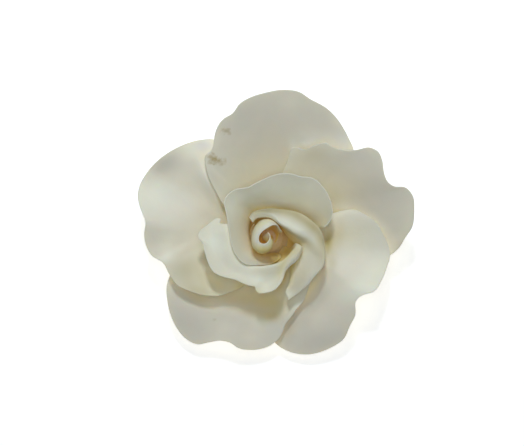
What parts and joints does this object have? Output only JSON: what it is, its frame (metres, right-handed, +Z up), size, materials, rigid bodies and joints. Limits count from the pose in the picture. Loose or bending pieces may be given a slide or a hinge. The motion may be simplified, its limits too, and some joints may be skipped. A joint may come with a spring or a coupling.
{
  "type": "rose",
  "caption": "Open ivory rose head modelled in sugar paste: a furled bud in cupped inner petals, wide ruffled outer petals, lying face up on a flat foot.",
  "frame": {"origin": "middle of the flat foot of the core, on the surface that the rose rests on", "axes": "+Z up through the bud; +X to the right and +Y towards the top petal when the rose is seen from above"},
  "size_m": [0.0888, 0.0853, 0.0324],
  "materials": {
    "core_paste": "matt dried sugar paste, ivory",
    "bud_paste": "matt dried sugar paste, warm ivory",
    "inner_petal_paste": "matt dried sugar paste, ivory with a cream base",
    "outer_petal_paste": "matt dried sugar paste, ivory with thin pale rims and a few browned specks"
  },
  "bodies": {
    "root": {"core": "core_paste", "bud": "bud_paste", "inner_petal_furled": "inner_petal_paste", "middle_petal_cup": "inner_petal_paste", "middle_petal_lip": "inner_petal_paste", "outer_petal_top": "outer_petal_paste", "outer_petal_right": "outer_petal_paste", "outer_petal_lower_right": "outer_petal_paste", "outer_petal_lower_left": "outer_petal_paste", "outer_petal_left": "outer_petal_paste"}
  },
  "joints": []
}
